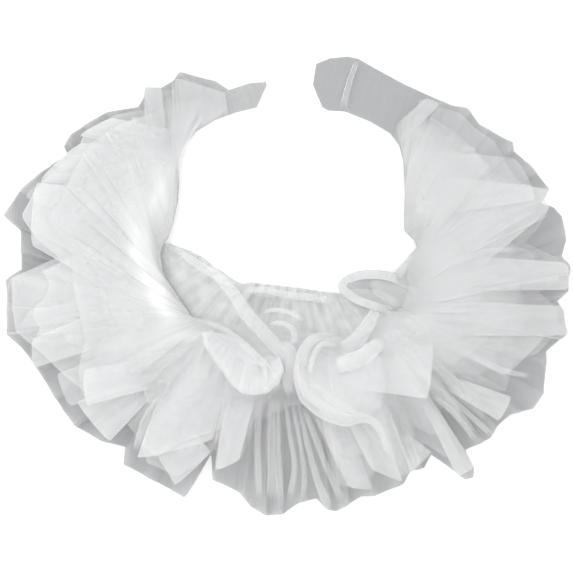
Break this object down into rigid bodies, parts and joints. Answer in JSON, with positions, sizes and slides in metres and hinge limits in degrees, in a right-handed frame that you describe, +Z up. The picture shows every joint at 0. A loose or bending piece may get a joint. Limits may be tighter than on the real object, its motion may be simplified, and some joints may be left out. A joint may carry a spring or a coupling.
{
  "type": "gathered ruff collar",
  "caption": "Gathered white net ruff collar laid flat with its back open: layered flounces, a neck frill, two plain ends and soft front loops.",
  "frame": {"origin": "middle of the collar's bounding box, on the table that it lies on", "axes": "+Z up from the table; +Y towards the open back and the two plain ends; +X towards the wearer's left end as it is seen from above, so the front flounces are at -Y"},
  "size_m": [0.4097, 0.3332, 0.0439],
  "materials": {
    "single_net": "sheer matt net, one layer",
    "gathered_net": "white matt net, gathered in several layers"
  },
  "bodies": {
    "root": {"under_flounce_left": "single_net", "under_flounce_front": "single_net", "under_flounce_right": "single_net", "plain_end_left": "single_net", "plain_end_right": "single_net", "middle_flounce_left": "gathered_net", "middle_flounce_front": "gathered_net", "middle_flounce_right": "gathered_net", "top_flounce_left": "gathered_net", "top_flounce_front": "gathered_net", "top_flounce_right": "gathered_net", "neck_frill": "single_net", "front_loop_left": "gathered_net", "front_loop_right": "gathered_net", "neck_loop_right": "gathered_net"}
  },
  "joints": []
}
